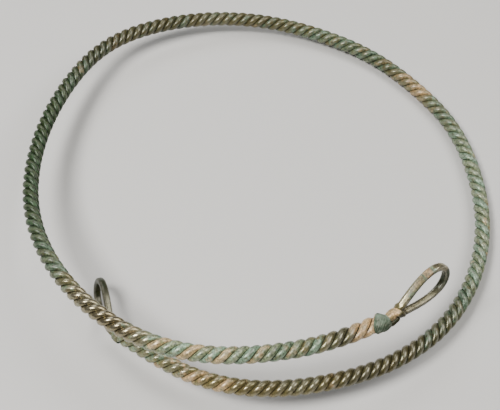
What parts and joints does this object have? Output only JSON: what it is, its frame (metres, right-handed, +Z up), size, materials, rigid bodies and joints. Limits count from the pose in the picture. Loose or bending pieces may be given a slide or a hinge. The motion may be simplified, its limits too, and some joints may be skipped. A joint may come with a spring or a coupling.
{
  "type": "neck ring",
  "caption": "Bronze neck ring of wires twisted like a rope, with overlapping sprung ends, each drawn out into a hammered wire loop held by a wound binding.",
  "frame": {"origin": "the middle of the ring's bounding box, at the height of its lowest point, as it lies on a flat surface", "axes": "+Z up from the surface, through the neck opening; -Y towards the side where the two ends pass each other; +X towards the raised end's loop"},
  "size_m": [0.1808, 0.1822, 0.0381],
  "materials": {
    "patinated_wire": "ancient bronze with green, brown and golden patina, rubbed bright on the crests",
    "rubbed_loop": "hammered bronze, grey-olive and rubbed on its outer faces",
    "verdigris_binding": "bronze wire under matte green corrosion"
  },
  "bodies": {
    "root": {"twisted_wire_1": "patinated_wire", "twisted_wire_2": "patinated_wire", "twisted_wire_3": "patinated_wire", "raised_end_loop": "rubbed_loop", "low_end_loop": "rubbed_loop", "raised_end_binding": "verdigris_binding", "low_end_binding": "verdigris_binding"}
  },
  "joints": []
}
